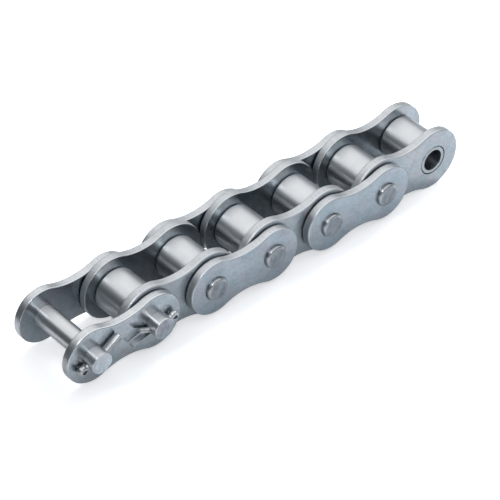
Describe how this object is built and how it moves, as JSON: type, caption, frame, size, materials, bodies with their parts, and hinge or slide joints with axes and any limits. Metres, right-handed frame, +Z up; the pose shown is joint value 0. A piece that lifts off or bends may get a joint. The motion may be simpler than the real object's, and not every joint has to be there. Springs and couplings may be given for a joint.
{
  "type": "roller chain",
  "caption": "Straight section of stainless roller chain closed by a cottered connecting link; its links pivot and its rollers spin to run over a sprocket.",
  "frame": {"origin": "centre of the free bush's bore at the open end, on the chain's middle plane", "axes": "+X along the chain towards the free bush, Y along the pins with the cotter pins on the -Y side, +Z up, square to the chain and the pins"},
  "size_m": [0.1747, 0.0349, 0.0238],
  "materials": {
    "plate_steel": "satin, tumbled",
    "roller_steel": "turned, satin",
    "bush_steel": "ground, satin",
    "pin_steel": "ground, satin",
    "cotter_steel": "bright drawn wire"
  },
  "bodies": {
    "inner_link_3": {"inner_plate_front_3": "plate_steel", "inner_plate_back_3": "plate_steel", "bush_5": "bush_steel", "bush_6": "bush_steel"},
    "outer_link_2": {"outer_plate_front_2": "plate_steel", "outer_plate_back_2": "plate_steel", "rivet_pin_3": "pin_steel", "rivet_pin_4": "pin_steel"},
    "inner_link_2": {"inner_plate_front_2": "plate_steel", "inner_plate_back_2": "plate_steel", "bush_3": "bush_steel", "bush_4": "bush_steel"},
    "outer_link_1": {"outer_plate_front_1": "plate_steel", "outer_plate_back_1": "plate_steel", "rivet_pin_1": "pin_steel", "rivet_pin_2": "pin_steel"},
    "inner_link_1": {"inner_plate_front_1": "plate_steel", "inner_plate_back_1": "plate_steel", "bush_1": "bush_steel", "bush_2": "bush_steel"},
    "connecting_link": {"connecting_plate_front": "plate_steel", "connecting_plate_back": "plate_steel", "connecting_pin_1": "pin_steel", "connecting_pin_2": "pin_steel", "cotter_pin_1": "cotter_steel", "cotter_pin_2": "cotter_steel"},
    "roller_1": {"roller_1": "roller_steel"},
    "roller_2": {"roller_2": "roller_steel"},
    "roller_3": {"roller_3": "roller_steel"},
    "roller_4": {"roller_4": "roller_steel"},
    "roller_5": {"roller_5": "roller_steel"},
    "roller_6": {"roller_6": "roller_steel"}
  },
  "joints": [
    {"name": "pin_6_pivot", "type": "hinge", "parent": "inner_link_3", "child": "outer_link_2", "pos_m": [-0.0254, 0, 0], "axis": [0, 1, 0], "range_deg": [-50, 50]},
    {"name": "pin_5_pivot", "type": "hinge", "parent": "outer_link_2", "child": "inner_link_2", "pos_m": [-0.0508, 0, 0], "axis": [0, 1, 0], "range_deg": [-50, 50]},
    {"name": "pin_4_pivot", "type": "hinge", "parent": "inner_link_2", "child": "outer_link_1", "pos_m": [-0.0762, 0, 0], "axis": [0, 1, 0], "range_deg": [-50, 50]},
    {"name": "pin_3_pivot", "type": "hinge", "parent": "outer_link_1", "child": "inner_link_1", "pos_m": [-0.1016, 0, 0], "axis": [0, 1, 0], "range_deg": [-50, 50]},
    {"name": "pin_2_pivot", "type": "hinge", "parent": "inner_link_1", "child": "connecting_link", "pos_m": [-0.127, 0, 0], "axis": [0, 1, 0], "range_deg": [-50, 50]},
    {"name": "roller_1_spin", "type": "hinge", "parent": "inner_link_1", "child": "roller_1", "pos_m": [-0.127, 0, 0], "axis": [0, 1, 0], "continuous": true},
    {"name": "roller_2_spin", "type": "hinge", "parent": "inner_link_1", "child": "roller_2", "pos_m": [-0.1016, 0, 0], "axis": [0, 1, 0], "continuous": true},
    {"name": "roller_3_spin", "type": "hinge", "parent": "inner_link_2", "child": "roller_3", "pos_m": [-0.0762, 0, 0], "axis": [0, 1, 0], "continuous": true},
    {"name": "roller_4_spin", "type": "hinge", "parent": "inner_link_2", "child": "roller_4", "pos_m": [-0.0508, 0, 0], "axis": [0, 1, 0], "continuous": true},
    {"name": "roller_5_spin", "type": "hinge", "parent": "inner_link_3", "child": "roller_5", "pos_m": [-0.0254, 0, 0], "axis": [0, 1, 0], "continuous": true},
    {"name": "roller_6_spin", "type": "hinge", "parent": "inner_link_3", "child": "roller_6", "pos_m": [0, 0, 0], "axis": [0, 1, 0], "continuous": true}
  ]
}
